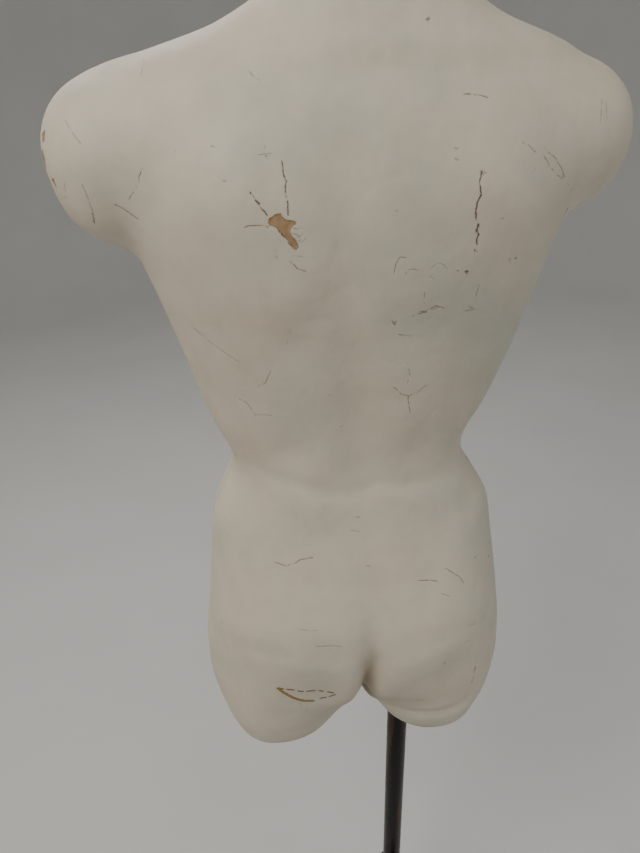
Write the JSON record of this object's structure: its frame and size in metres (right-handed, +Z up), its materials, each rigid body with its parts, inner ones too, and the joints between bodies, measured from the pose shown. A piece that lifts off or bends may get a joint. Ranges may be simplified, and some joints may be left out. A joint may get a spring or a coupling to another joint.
{
  "type": "torso mannequin",
  "caption": "Armless, headless torso mannequin with rounded arm and thigh stumps in aged cream paint, on a dark telescoping pole with a round base.",
  "frame": {"origin": "on the floor, at the centre of the base's underside, on the pole's axis", "axes": "+Z up along the pole; the figure faces -Y and its back is +Y; its right side is -X, and its middle stands at x = 0.062 m"},
  "size_m": [0.4856, 0.3, 1.587],
  "materials": {
    "aged_paint": "worn matte cream paint over papier mache",
    "seam_cloth": "glued woven tape",
    "board_wood": "sawn softwood",
    "dark_bronze": "gloss dark bronze lacquer",
    "socket_steel": "oiled steel",
    "screw_steel": "zinc plated",
    "black_plastic": "moulded satin black",
    "base_enamel": "satin dark bronze enamel on cast iron",
    "base_felt": "pressed felt"
  },
  "bodies": {
    "stand": {"outer_pole": "dark_bronze", "pole_bush": "black_plastic", "clamp_collar": "dark_bronze", "base_hub": "dark_bronze", "hub_set_screw": "screw_steel", "hub_bolts": "screw_steel", "base_plate": "base_enamel", "base_felt": "base_felt"},
    "clamp_knob": {"clamp_knob": "black_plastic", "clamp_stud": "screw_steel"},
    "pole": {"inner_pole": "dark_bronze", "pole_top_plug": "black_plastic", "pole_glide": "black_plastic"},
    "torso": {"torso_back_shell": "aged_paint", "torso_front_shell": "aged_paint", "seam_strips": "seam_cloth", "neck_board": "board_wood", "neck_cap": "dark_bronze", "neck_cap_screw": "screw_steel", "hip_board": "board_wood", "thigh_board": "board_wood", "socket_tube": "socket_steel", "socket_cap": "socket_steel", "socket_flange": "socket_steel", "flange_screws": "screw_steel", "lock_boss": "socket_steel"},
    "lock_screw": {"torso_lock_screw": "screw_steel"}
  },
  "joints": [
    {"name": "height_slide", "type": "slide", "parent": "stand", "child": "pole", "axis": [0, 0, 1], "range_m": [-0.05, 0.15]},
    {"name": "clamp_knob_turn", "type": "hinge", "parent": "stand", "child": "clamp_knob", "pos_m": [0, 0.04, 0.253], "axis": [0, 1, 0], "range_deg": [0, 360]},
    {"name": "torso_swivel", "type": "hinge", "parent": "pole", "child": "torso", "pos_m": [0, 0, 0.78], "axis": [0, 0, 1], "continuous": true},
    {"name": "lock_screw_turn", "type": "hinge", "parent": "torso", "child": "lock_screw", "pos_m": [0, -0.05, 0.78], "axis": [0, -1, 0], "range_deg": [0, 360]}
  ]
}
